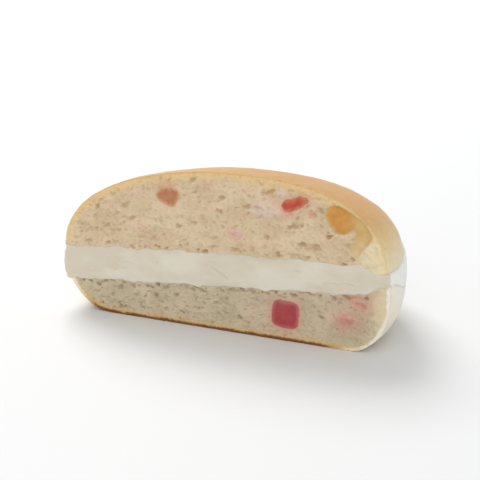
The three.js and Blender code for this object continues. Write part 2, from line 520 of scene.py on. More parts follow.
class Recipe:
    """A material being mixed from nodes."""

    def __init__(self, name: str) -> None:
        """Starts from a plain material's shader."""
        self.material = bpy.data.materials.new(name)
        self.material.use_nodes = True
        self.tree = self.material.node_tree
        self.shader = self.tree.nodes["Principled BSDF"]
        self.place = self.tree.nodes.new("ShaderNodeTexCoord").outputs["Object"]

    def fill(self, socket: bpy.types.NodeSocket, value: object) -> None:
        """Gives a socket a value, or a link where the value is another socket."""
        if isinstance(value, bpy.types.NodeSocket):
            self.tree.links.new(value, socket)
        elif isinstance(value, tuple) and len(value) == 3 and socket.type == "RGBA":
            socket.default_value = (*value, 1)
        else:
            socket.default_value = value

    def value(self, name: str) -> bpy.types.NodeSocket:
        """Reads a named value that the mesh holds for each point."""
        node = self.tree.nodes.new("ShaderNodeAttribute")
        node.attribute_name = name
        return node.outputs["Fac"]

    def stretched(self, x: float, y: float, z: float) -> bpy.types.NodeSocket:
        """Gives the place with each axis scaled, to draw a pattern out."""
        node = self.tree.nodes.new("ShaderNodeMapping")
        self.fill(node.inputs["Vector"], self.place)
        node.inputs["Scale"].default_value = (x, y, z)
        return node.outputs["Vector"]

    def noise(
        self,
        size: float,
        detail: float = 2.0,
        roughness: float = 0.5,
        place: bpy.types.NodeSocket | None = None,
    ) -> bpy.types.NodeSocket:
        """Adds noise whose swells are size millimetres apart.

        Args:
            size: distance between swells, in millimetres.
            detail: how many finer layers it has.
            roughness: how strong those are.
            place: where it is read, or None for the plain place.

        Returns:
            Its value, about 0 to 1.
        """
        node = self.tree.nodes.new("ShaderNodeTexNoise")
        self.fill(node.inputs["Vector"], place or self.place)
        node.inputs["Scale"].default_value = 1 / (size * MM)
        node.inputs["Detail"].default_value = detail
        node.inputs["Roughness"].default_value = roughness
        return node.outputs["Fac"]

    def cells(self, size: float, place: bpy.types.NodeSocket | None = None) -> bpy.types.NodeSocket:
        """Adds the distance to the nearest of points about size millimetres apart."""
        node = self.tree.nodes.new("ShaderNodeTexVoronoi")
        self.fill(node.inputs["Vector"], place or self.place)
        node.inputs["Scale"].default_value = 1 / (size * MM)
        return node.outputs["Distance"]

    def math(
        self, operation: str, first: object, second: object = 0.0, third: object = 0.0
    ) -> bpy.types.NodeSocket:
        """Adds a sum of numbers or sockets."""
        node = self.tree.nodes.new("ShaderNodeMath")
        node.operation = operation
        for socket, value in zip(node.inputs, (first, second, third)):
            self.fill(socket, value)
        return node.outputs[0]

    def times(self, *factors: object) -> bpy.types.NodeSocket:
        """Multiplies numbers or sockets."""
        product = factors[0]
        for factor in factors[1:]:
            product = self.math("MULTIPLY", product, factor)
        return product

    def shift(self, base: object, swing: bpy.types.NodeSocket, amount: float) -> bpy.types.NodeSocket:
        """Adds noise to a value, so that it wanders by amount either way."""
        centred = self.math("SUBTRACT", swing, 0.5)
        return self.math("MULTIPLY_ADD", centred, 2 * amount, base)

    def fade(self, value: bpy.types.NodeSocket, start: float, end: float) -> bpy.types.NodeSocket:
        """Passes smoothly from 0 at start to 1 at end, in either direction."""
        node = self.tree.nodes.new("ShaderNodeMapRange")
        node.interpolation_type = "SMOOTHSTEP"
        low, high = sorted((start, end))
        self.fill(node.inputs["Value"], value)
        node.inputs["From Min"].default_value = low
        node.inputs["From Max"].default_value = high
        node.inputs["To Min"].default_value = 0.0 if start < end else 1.0
        node.inputs["To Max"].default_value = 1.0 if start < end else 0.0
        return node.outputs["Result"]

    def mix(self, share: object, first: object, second: object, blend: str = "MIX") -> bpy.types.NodeSocket:
        """Mixes two colours by a share from 0 to 1."""
        node = self.tree.nodes.new("ShaderNodeMix")
        node.data_type = "RGBA"
        node.blend_type = blend
        self.fill(node.inputs[0], share)
        self.fill(node.inputs[6], first)
        self.fill(node.inputs[7], second)
        return node.outputs[2]

    def ramp(
        self, value: bpy.types.NodeSocket, stops: Sequence[tuple[float, Colour]]
    ) -> bpy.types.NodeSocket:
        """Turns a value of 0 to 1 into a colour by stops."""
        node = self.tree.nodes.new("ShaderNodeValToRGB")
        self.fill(node.inputs[0], value)
        elements = node.color_ramp.elements
        while len(elements) < len(stops):
            elements.new(1)
        for element, (position, colour) in zip(elements, stops):
            element.position = position
            element.color = (*colour, 1)
        return node.outputs["Color"]

    def relief(self, height: bpy.types.NodeSocket, deep: float) -> bpy.types.NodeSocket:
        """Adds fine relief that is deep millimetres from low to high."""
        node = self.tree.nodes.new("ShaderNodeBump")
        node.inputs["Strength"].default_value = 1.0
        node.inputs["Distance"].default_value = deep * MM
        self.fill(node.inputs["Height"], height)
        return node.outputs["Normal"]

    def set(self, **constants: object) -> None:
        """Sets the shader's own sockets, named with _ for each space."""
        for name, value in constants.items():
            self.fill(self.shader.inputs[name.replace("_", " ")], value)


@dataclass(frozen=True)
class BreadFinish:
    """Soft crumb inside, and a thin crust that browned by which way it faced in the oven.

    The crust's stops run from what faces straight down, at 0, to what faces straight up, at 1. Where the
    knife went through it, the crust has the golden tint by the share of cut_golden. The crumb's roughness
    is dull, and the crust is smoother by shine. The torn crumb's relief is torn_deep millimetres high.
    The pore colour is painted shade in the pores and small cells of the cut. The pocket's orange-yellow
    colours are its smooth wall with a painted glow of light through the thin crust, and the crumb's right
    end gets a paler yellow of painted light.
    """

    name: str
    crumb: Colour
    crumb_shade: Colour
    crumb_blush: Colour
    golden: Colour
    crust_stops: tuple[tuple[float, Colour], ...]
    crust_deep: float
    golden_deep: float
    golden_facing: tuple[float, float]
    cut_golden: float
    # painted shade: what the pores and small cells of the cut are darkened towards
    pore: Colour = srgb(160, 126, 86)
    stain: Colour = srgb(216, 128, 114)
    lilac: Colour = srgb(222, 204, 216)
    toasted: Colour = srgb(206, 132, 76)
    # painted light: the paler yellow of the crumb's thin, lit right end
    right_end_light: Colour = srgb(238, 226, 190)
    # The pocket's colours: its smooth under-crust wall, with a painted glow of light through the thin crust
    amber_glow: Colour = srgb(220, 162, 74)
    amber_glow_deep: Colour = srgb(208, 150, 68)
    amber_glow_pale: Colour = srgb(214, 182, 116)
    film: Colour = srgb(240, 239, 230)
    freckle: Colour = srgb(196, 140, 84)
    wall: Colour = srgb(244, 230, 204)
    dull: float = 0.84
    shine: float = 0.36
    torn_deep: float = 0.17

    def crust(self, mix: Recipe) -> bpy.types.NodeSocket:
        """Colours the crust."""
        toward = mix.shift(mix.value("facing"), mix.noise(9, 3, 0.55), 0.09)
        colour = mix.ramp(mix.math("MULTIPLY_ADD", toward, 0.5, 0.5), self.crust_stops)
        freckle = mix.fade(mix.noise(1.1, 3, 0.6), 0.35, 0.75)
        colour = mix.mix(mix.times(freckle, 0.14), colour, self.freckle, "MULTIPLY")
        return mix.mix(mix.times(mix.value("cut"), self.cut_golden), colour, self.golden)

    def soft(self, mix: Recipe) -> bpy.types.NodeSocket:
        """Colours the crumb, with the yellow rim it has under the crust, and paints shade into its pores
        and cells.
        """
        patch = mix.fade(mix.noise(6, 4, 0.6, mix.stretched(0.7, 1, 1)), 0.36, 0.64)
        colour = mix.mix(patch, self.crumb, self.crumb_shade)
        blush = mix.fade(mix.noise(5.3, 3, 0.55, mix.stretched(0.6, 1, 1)), 0.5, 0.7)
        colour = mix.mix(mix.times(blush, 0.55), colour, self.crumb_blush)
        depth = mix.shift(mix.value("depth"), mix.noise(3.4, 3, 0.6), 0.35 * self.golden_deep)
        rim = mix.fade(depth, self.golden_deep, 0.2 * self.golden_deep)
        baked = mix.fade(mix.value("facing"), *self.golden_facing)
        colour = mix.mix(mix.times(rim, baked, 0.85), colour, self.golden)
        # painted shade in the crumb's small cells
        grain = mix.fade(mix.cells(0.8, mix.stretched(0.7, 1, 1)), 0.5, 0.1)
        colour = mix.mix(mix.times(grain, 0.12), colour, self.pore)
        wall = mix.fade(mix.noise(0.6, 3, 0.6), 0.58, 0.74)
        colour = mix.mix(mix.times(wall, 0.3), colour, self.wall)
        # painted shade in the pores and deeper cells, by the value the mesh holds
        return mix.mix(mix.times(mix.value("pore"), 0.5), colour, self.pore)

    def fruit_marks_and_end_light(self, mix: Recipe, colour: bpy.types.NodeSocket) -> bpy.types.NodeSocket:
        """Adds what the fruit left in the crumb, and the painted light at its right end."""
        fleck = mix.math("MULTIPLY_ADD", mix.noise(0.9, 3, 0.6), 0.9, 0.55)
        # painted light at the crumb's right end
        colour = mix.mix(mix.value("right_end_light"), colour, self.right_end_light)
        colour = mix.mix(mix.times(mix.value("stain"), fleck), colour, self.stain)
        colour = mix.mix(mix.value("lilac"), colour, self.lilac)
        return mix.mix(mix.value("toasted"), colour, self.toasted)

    def material(self) -> bpy.types.Material:
        """Mixes the whole finish."""
        mix = Recipe(self.name)
        edge = mix.shift(mix.value("depth"), mix.noise(1.0, 3, 0.6), 0.5 * self.crust_deep)
        edge = mix.shift(edge, mix.noise(6), 0.5 * self.crust_deep)
        crust = mix.fade(edge, 1.15 * self.crust_deep, 0.45 * self.crust_deep)
        colour = mix.mix(crust, self.fruit_marks_and_end_light(mix, self.soft(mix)), self.crust(mix))
        # The pockets take a painted orange-yellow glow of light through the crust over their smooth wall.
        hollow = mix.value("hollow")
        cloudy = mix.fade(mix.noise(2.4, 3, 0.6), 0.38, 0.66)
        amber_glow = mix.mix(mix.value("amber_glow"), self.amber_glow_pale, mix.mix(cloudy, self.amber_glow, self.amber_glow_deep))
        colour = mix.mix(mix.times(hollow, 0.92), colour, amber_glow)
        mix.set(Base_Color=mix.mix(mix.times(mix.value("film"), 0.9), colour, self.film))
        outside = mix.times(crust, mix.fade(mix.value("cut"), 0.6, 0.2))
        glaze = mix.math("MAXIMUM", outside, mix.times(hollow, 0.6))
        mix.set(Roughness=mix.math("MULTIPLY_ADD", glaze, -self.shine, self.dull))
        torn = mix.math("ADD", mix.noise(0.7, 4, 0.65), mix.times(mix.cells(0.9), 0.7))
        soft_relief = mix.times(torn, mix.math("SUBTRACT", 1.0, glaze))
        wrinkle = mix.times(mix.noise(2.2, 5, 0.62), outside, 0.32)
        mix.set(Normal=mix.relief(mix.math("ADD", soft_relief, wrinkle), self.torn_deep))
        mix.set(Subsurface_Weight=0.22, Subsurface_Radius=(1.0, 0.75, 0.55), Subsurface_Scale=0.9 * MM)
        mix.set(Specular_IOR_Level=0.4)
        return mix.material


@dataclass(frozen=True)
class CreamFinish:
    """Whipped cream: white where it was squeezed out, and darker on the cut, partly dulled by crumbs and
    the knife and partly painted shade.
    """

    name: str = "whipped_cream"
    white: Colour = srgb(245, 245, 239)
    # Darker colours of the cut: partly dulled by crumbs and the knife, partly painted shade.
    cut_pale: Colour = srgb(225, 219, 203)
    cut_warm: Colour = srgb(215, 205, 186)

    def material(self) -> bpy.types.Material:
        """Mixes the finish."""
        mix = Recipe(self.name)
        patch = mix.fade(mix.noise(8, 3, 0.5, mix.stretched(0.5, 1, 1)), 0.35, 0.65)
        cut = mix.mix(patch, self.cut_pale, self.cut_warm)
        mix.set(Base_Color=mix.mix(mix.value("cut"), self.white, cut))
        drag = mix.noise(1.4, 4, 0.6, mix.stretched(0.18, 1, 1))
        foam = mix.noise(0.45, 3, 0.6)
        mix.set(Normal=mix.relief(mix.math("MULTIPLY_ADD", foam, 0.35, drag), 0.1))
        mix.set(Roughness=0.42, Specular_IOR_Level=0.45)
        mix.set(Subsurface_Weight=0.45, Subsurface_Radius=(1.0, 0.8, 0.6), Subsurface_Scale=2.2 * MM)
        return mix.material


@dataclass(frozen=True)
class FruitFinish:
    """Candied fruit, moist and a little see-through, with soft edges in the crumb."""

    name: str
    flesh: Colour
    deep: Colour
    far_side: Colour
    edge: Colour
    edge_share: float = 0.85

    def material(self) -> bpy.types.Material:
        """Mixes the finish."""
        mix = Recipe(self.name)
        patch = mix.fade(mix.noise(2.6, 3, 0.55), 0.35, 0.65)
        colour = mix.mix(patch, self.flesh, self.deep)
        colour = mix.mix(mix.value("far_side"), colour, self.far_side)
        sugar = mix.fade(mix.noise(0.7, 2, 0.6), 0.64, 0.8)
        colour = mix.mix(mix.times(sugar, 0.3), colour, self.edge)
        mix.set(Base_Color=mix.mix(mix.times(mix.value("rim"), self.edge_share), colour, self.edge))
        mix.set(Normal=mix.relief(mix.noise(0.8, 3, 0.6), 0.1))
        mix.set(Roughness=0.42, Coat_Weight=0.2, Coat_Roughness=0.25)
        mix.set(Subsurface_Weight=0.35, Subsurface_Radius=(1.0, 0.3, 0.25), Subsurface_Scale=1.3 * MM)
        return mix.material


@dataclass(frozen=True)
class LooseCrumbFinish:
    """Crumbs torn off by the knife."""

    name: str = "loose_crumb"
    pale: Colour = srgb(236, 224, 200)
    golden: Colour = srgb(228, 210, 178)

    def material(self) -> bpy.types.Material:
        """Mixes the finish."""
        mix = Recipe(self.name)
        mix.set(Base_Color=mix.mix(mix.fade(mix.noise(2.0), 0.4, 0.6), self.pale, self.golden))
        mix.set(Normal=mix.relief(mix.noise(0.3, 3, 0.6), 0.05), Roughness=0.85)
        return mix.material


CROWN_FINISH = BreadFinish(
    name="crown_bread",
    crumb=srgb(224, 204, 172),
    crumb_shade=srgb(212, 190, 156),
    crumb_blush=srgb(222, 186, 162),
    golden=srgb(230, 200, 144),
    crust_stops=(
        (0.5, srgb(240, 234, 214)),
        (0.63, srgb(240, 228, 196)),
        (0.74, srgb(234, 208, 154)),
        (0.86, srgb(218, 176, 119)),
        (1.0, srgb(203, 156, 97)),
    ),
    crust_deep=0.45,
    golden_deep=3.6,
    golden_facing=(-0.2, 0.5),
    cut_golden=0.55,
)
HEEL_FINISH = BreadFinish(
    name="heel_bread",
    crumb=srgb(210, 195, 166),
    crumb_shade=srgb(196, 182, 154),
    crumb_blush=srgb(210, 182, 160),
    golden=srgb(220, 184, 124),
    crust_stops=(
        (0.0, srgb(126, 78, 34)),
        (0.03, srgb(154, 104, 54)),
        (0.07, srgb(208, 172, 120)),
        (0.16, srgb(240, 224, 188)),
        (0.34, srgb(247, 239, 220)),
    ),
    crust_deep=1.05,
    golden_deep=2.8,
    golden_facing=(-0.3, -0.85),
    cut_golden=0.0,
    # painted shade: a darker colour for the heel's pores
    pore=srgb(126, 102, 76),
)
RASPBERRY = FruitFinish(
    "fruit_red", srgb(178, 62, 66), srgb(164, 54, 60), srgb(148, 76, 82), srgb(200, 122, 114), 0.6
)
CORAL = FruitFinish(
    "fruit_coral", srgb(198, 72, 46), srgb(180, 56, 36), srgb(182, 120, 62), srgb(198, 124, 90)
)
COPPER = FruitFinish(
    "fruit_copper", srgb(190, 130, 88), srgb(178, 110, 72), srgb(202, 164, 116), srgb(212, 178, 138)
)
PALE_PINK = FruitFinish(
    "fruit_pink", srgb(200, 146, 128), srgb(184, 120, 106), srgb(196, 144, 114), srgb(216, 174, 150)
)


# ---- Fruit and hollows ----

# A hollow and its lip end within this many times its size.
HOLLOW_REACH = 1.7
# A lip's crest lies this far out, its rim being 1, and the lip falls off over this much on both sides.
LIP_CREST = 1.2
LIP_WIDTH = 0.22
# How rough the rims of scattered pores are.
PORE_JAG = 0.14


@dataclass(frozen=True)
class Hollow:
    """A hollow in the cut, whose rim is a rounded box turned by tilt.

    A tilt above 0 raises the right end, a taper above 0 narrows the foot, a narrowing above 0 the right
    end, jag roughens the rim, the wall is steep at the rim where its exponent is small, and tone is how
    strongly a bubble takes the painted glow of light through the crust.
    """

    x: float
    z: float
    long: float
    high: float
    tilt: float
    deep: float
    power: float = 2.0
    taper: float = 0.0
    jag: float = 0.0
    wall: float = 0.5
    tone: float = 1.0
    narrowing: float = 0.0

    def spread(self, x: np.ndarray, z: np.ndarray) -> np.ndarray:
        """Gives how far out places lie, from 0 in the middle to 1 on the rim."""
        cos, sin = math.cos(self.tilt), math.sin(self.tilt)
        along = ((x - self.x) * cos + (z - self.z) * sin) / self.long
        over = ((z - self.z) * cos - (x - self.x) * sin) / self.high
        angle = np.arctan2(over, along)
        ragged = np.sin(2 * angle + 7 * self.x) + 0.7 * np.sin(3 * angle + 5 * self.z)
        over = over / (1 - self.narrowing * (1 + np.clip(along, -1, 1)) / 2)
        along = along / (1 + self.taper * np.clip(over, -1, 1))
        round_box = (np.abs(along) ** self.power + np.abs(over) ** self.power) ** (1 / self.power)
        return round_box * (1 + self.jag * ragged)

    def sink(self, spread: np.ndarray) -> np.ndarray:
        """Gives how deep the hollow is where places lie that far out."""
        return self.deep * np.clip(1 - spread**self.power, 0, 1) ** self.wall


def sunk(points: np.ndarray, hollows: Iterable[Hollow], lip: float = 0.0) -> np.ndarray:
    """Works out how deep each point of the cut sinks into the deepest of the hollows.

    Args:
        points: places on the cut.
        hollows: the hollows, which may overlap.
        lip: how far the torn crumb stands up round each of them.

    Returns:
        The depth at each point, below 0 on a lip.
    """
    order = np.argsort(points[:, 0])
    xs, zs = points[order, 0], points[order, 2]
    depth = np.zeros(len(points))
    raised = np.zeros(len(points))
    for hollow in hollows:
        reach = HOLLOW_REACH * max(hollow.long, hollow.high)
        start, stop = np.searchsorted(xs, (hollow.x - reach, hollow.x + reach))
        spread = hollow.spread(xs[start:stop], zs[start:stop])
        depth[start:stop] = np.maximum(depth[start:stop], hollow.sink(spread))
        ring = lip * min(1.0, hollow.high) * np.exp(-(((spread - LIP_CREST) / LIP_WIDTH) ** 2))
        raised[start:stop] = np.maximum(raised[start:stop], ring)
    result = np.empty(len(points))
    result[order] = np.where(depth > 0, depth, -raised)
    return result


def pooled(points: np.ndarray, hollows: Sequence[Hollow]) -> np.ndarray:
    """Works out how deep each point of the cut sinks where hollows run into one another.

    Args:
        points: places on the cut.
        hollows: the hollows, whose depths are blended where they meet.

    Returns:
        The depth at each point.
    """
    total = np.zeros(len(points))
    for hollow in hollows:
        total += hollow.sink(hollow.spread(points[:, 0], points[:, 2])) ** 3
    return np.cbrt(total)


@dataclass(frozen=True)
class CutFruit:
    """A piece of candied fruit that the knife went through.

    A tilt below 0 raises its right end, as in its solid. The far side is the part of it that has the
    finish's second tint, as a direction on the cut. It stands proud of the cut, and sags behind it
    towards its rim.
    """

    name: str
    node: str
    slot: str
    finish: FruitFinish
    x: float
    z: float
    half: tuple[float, float, float]
    tilt: float
    power: float
    far_side: tuple[float, float]
    taper: float = 0.0
    lumps: float = 0.4
    fray: float = 0.55
    halo: float = 0.35
    halo_reach: float = 0.8
    hold: float = 0.5
    lump_size: float = 2.4
    frays: tuple[Swell, ...] = (Swell(1.3, 1.0, 3.0), Swell(0.6, 0.6, 6.0))
    rim_fade: Fade = (1.3, 0.2)
    far_fade: Fade = (0.35, 0.95)
    far_swell: Swell = Swell(1.6, 0.25, 5.0)
    proud: float = 0.1
    front_deep: float = 0.3
    sag: float = 0.14
    sag_reach: float = 0.9
    dents: Swell = Swell(1.4, 0.12, 8.0)

    def outline(self) -> Hollow:
        """Gives the piece's outline on the cut."""
        long, deep, high = self.half
        return Hollow(self.x, self.z, long, high, -self.tilt, deep, self.power, narrowing=self.taper)

    def socket(self) -> Hollow:
        """Gives the hollow that holds the piece, smaller than it so that no gap shows."""
        long, deep, high = (size - self.hold for size in self.half)
        wall = 1 / self.power
        return Hollow(
            self.x, self.z, long, high, -self.tilt, deep, self.power, wall=wall, narrowing=self.taper
        )

    def block(self) -> bmesh.types.BMesh:
        """Makes the uncut piece where it lies."""
        block = bmesh.new()
        bmesh.ops.create_icosphere(block, subdivisions=5, radius=1)
        unit = np.array([vert.co for vert in block.verts])
        unit /= (np.abs(unit) ** self.power).sum(axis=1, keepdims=True) ** (1 / self.power)
        points = unit * np.array(self.half)
        points[:, 2] *= 1 - self.taper * (1 + unit[:, 0]) / 2
        points += unit * Swell(self.lump_size, self.lumps, self.x).at(points)[:, None]
        for vert, point in zip(block.verts, points):
            vert.co = point
        bmesh.ops.transform(block, matrix=turned(self.x, self.z, self.tilt), verts=block.verts[:])
        return block

    def build(self, homing: Homing, voxel: float) -> bpy.types.Object:
        """Cuts the piece at the knife's plane and dresses it.

        Args:
            homing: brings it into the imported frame.
            voxel: size of its faces, in millimetres.

        Returns:
            The finished piece.
        """
        block = self.block()
        whole = BVHTree.FromBMesh(block)
        slice_off(block, Vector((0, -self.proud, 0)), TOWARDS_KNIFE)
        skin = Skin(evened(self.name, block, voxel))
        distance, _ = skin.nearest(whole)
        ragged = self.fray * swung(skin.points, self.frays)
        skin.store("rim", smoothstep(*self.rim_fade, distance + ragged))
        across = (skin.points[:, 0] - self.x) / self.half[0] * self.far_side[0]
        up = (skin.points[:, 2] - self.z) / self.half[2] * self.far_side[1]
        skin.store("far_side", smoothstep(*self.far_fade, across + up + self.far_swell.at(skin.points)))
        front = smoothstep(self.front_deep, 0.0, skin.points[:, 1])
        sag = self.sag * smoothstep(self.sag_reach, 0.0, distance) + self.dents.at(skin.points)
        skin.points[:, 1] += front * sag
        skin.settle()
        return homing.finish(self.name, skin.mesh, self.finish.material(), self.slot, [self.node])


FRUIT_CUBE = CutFruit(
    name="cube_of_fruit",
    node="fruit_cube",
    slot="fruit_red",
    finish=RASPBERRY,
    x=20.3,
    z=7.9,
    half=(4.25, 3.4, 4.15),
    tilt=0.06,
    power=4.2,
    far_side=(-0.25, 0.85),
    lumps=0.2,
    fray=0.2,
    halo=0.4,
    hold=0.25,
)
FRUIT_CHUNK = CutFruit(
    name="chunk_of_fruit",
    node="fruit_chunk",
    slot="fruit_coral",
    finish=CORAL,
    x=23.0,
    z=40.6,
    half=(4.5, 2.8, 2.2),
    tilt=-0.42,
    power=2.6,
    far_side=(0.95, 0.25),
    taper=0.38,
)
FRUIT_WEDGE = CutFruit(
    name="wedge_of_fruit",
    node="fruit_wedge",
    slot="fruit_coral",
    finish=COPPER,
    x=-16.2,
    z=38.2,
    half=(3.7, 2.8, 3.1),
    tilt=0.3,
    power=2.8,
    far_side=(-0.3, 0.9),
    lumps=0.55,
    halo=0.15,
)
FRUIT_FLECKS = (
    CutFruit(
        name="fleck_high",
        node="fruit_fleck_high",
        slot="fruit_pink",
        finish=PALE_PINK,
        x=42.6,
        z=14.2,
        half=(2.7, 1.8, 1.5),
        tilt=0.25,
        power=2.2,
        far_side=(-0.9, 0.5),
        lumps=0.6,
        halo_reach=1.3,
    ),
    CutFruit(
        name="fleck_low",
        node="fruit_fleck_low",
        slot="fruit_pink",
        finish=PALE_PINK,
        x=38.6,
        z=8.8,
        half=(3.0, 1.8, 2.0),
        tilt=-0.1,
        power=2.2,
        far_side=(0.3, -0.9),
        lumps=0.6,
        halo_reach=1.3,
    ),
)
CROWN_FRUIT = (FRUIT_CHUNK, FRUIT_WEDGE)
HEEL_FRUIT = (FRUIT_CUBE, *FRUIT_FLECKS)
POCKETS = (
    Hollow(36.6, 37.1, 4.8, 3.9, -0.32, deep=3.2, power=2.1, taper=0.38, jag=0.03, wall=0.8),
    Hollow(41.7, 36.6, 2.3, 2.2, -0.9, deep=1.8, power=2.0, jag=0.05, wall=0.9),
    Hollow(43.0, 33.9, 2.3, 3.2, -0.15, deep=2.1, power=2.0, jag=0.06, wall=0.9, tone=0.9),
    Hollow(41.5, 30.4, 1.9, 3.1, -0.5, deep=1.2, power=2.0, jag=0.1, wall=1.0, tone=0.6),
)


# ---- Crumb ----


@dataclass(frozen=True)
class PoreField:
    """Pores of one size class scattered over the cut, drawn out along the rise of the dough."""

    count: int
    seed: int
    reach: float
    size: tuple[float, float]
    stretch: tuple[float, float]
    deep: float
    wander: float = 0.45

    def scatter(
        self,
        low: Callable[[float], float],
        high: Callable[[float], float],
        flow: Callable[[float, float], float],
    ) -> list[Hollow]:
        """Draws the pores.

        Args:
            low: gives the lowest place for a pore at x.
            high: gives the highest place for a pore at x.
            flow: gives the way the dough rose at x and z, as a tilt.

        Returns:
            The pores.
        """
        draw = random.Random(self.seed)
        made = []
        for _ in range(self.count):
            x = draw.uniform(-self.reach, self.reach)
            floor, roof = low(x), high(x)
            z = draw.uniform(floor, max(floor, roof))
            size = self.size[0] + (self.size[1] - self.size[0]) * draw.random() ** 2
            long = size * draw.uniform(*self.stretch)
            tilt = flow(x, z) + draw.uniform(-self.wander, self.wander)
            if roof > floor:
                made.append(Hollow(x, z, long, size, tilt, size * self.deep, jag=PORE_JAG))
        return made


@dataclass(frozen=True)
class PitRow:
    """A row of small pits along the cream, where the crumb tore off it."""

    count: int
    seed: int
    ends: tuple[float, float] = (-46, 47)
    inset: tuple[float, float] = (0.5, 1.7)
    size: tuple[float, float] = (0.25, 0.5)
    stretch: tuple[float, float] = (1, 2.2)
    wander: float = 0.4
    deep: float = 1.7

    def scatter(self, seam: SeamFace, inward: int) -> list[Hollow]:
        """Draws the pits.

        Args:
            seam: the cream's face that they follow.
            inward: 1 where the crumb lies above that face, -1 where it lies below.

        Returns:
            The pits.
        """
        draw = random.Random(self.seed)
        made = []
        for _ in range(self.count):
            x = draw.uniform(*self.ends)
            z = seam.on_cut(x) + inward * draw.uniform(*self.inset)
            size = draw.uniform(*self.size)
            tilt = draw.uniform(-self.wander, self.wander)
            long = size * draw.uniform(*self.stretch)
            made.append(Hollow(x, z, long, size, tilt, size * self.deep, jag=PORE_JAG))
        return made


class Mark(Enum):
    """What marks the crumb, with the painted light at its right end, by the name of the value that the
    finish reads.
    """

    PINK = "stain"
    LILAC = "lilac"
    TOASTED = "toasted"
    # painted light: the paler yellow of the crumb's lit right end, not a stain
    RIGHT_END_LIGHT = "right_end_light"


@dataclass(frozen=True)
class StainAndLight:
    """A stained patch of crumb, or a patch of painted light where its mark says so: its middle, half sizes
    and strength, and how its edge fades and frays.
    """

    mark: Mark
    x: float
    z: float
    long: float
    high: float
    strength: float
    fade: Fade = (1.2, 0.2)
    fray: float = 0.45

    def share(self, points: np.ndarray, ragged: np.ndarray) -> np.ndarray:
        """Gives how strongly each point is stained, with a ragged edge."""
        spread = Hollow(self.x, self.z, self.long, self.high, 0.0, 1.0).spread(points[:, 0], points[:, 2])
        return self.strength * smoothstep(*self.fade, spread + self.fray * ragged)


def torn(x: float, z: float, long: float, high: float, tilt: float = 0.0) -> Hollow:
    """Describes one of the larger pores that the cut shows, a little deeper than it is high."""
    return Hollow(x, z, long, high, tilt, deep=1.1 * high, jag=0.12)


@dataclass(frozen=True)
class CreamFilm:
    """A thin film of cream that was wiped down the heel's crust from the seam.

    Its middle is an angle about the bun's axis, from the right end. It narrows from its half width at
    the seam to nothing at its foot.
    """

    middle: float
    half_width: float
    top: float
    foot: float
    thick: float = 0.3
    fade: Fade = (1.15, 0.55)
    frays: tuple[Swell, ...] = (Swell(5.5, 0.55, 2.0), Swell(1.7, 0.25, 5.0))

    def share(self, form: BunForm, points: np.ndarray) -> np.ndarray:
        """Gives how far the film covers each point, with a ragged edge."""
        x, y, z = points.T
        angle = np.arctan2(y - form.cut_offset, x)
        along = (angle - self.middle) * form.radius / self.half_width
        down = np.clip((self.top - z) / (self.top - self.foot), 0, None)
        return smoothstep(*self.fade, np.hypot(along, down) + swung(points, self.frays))


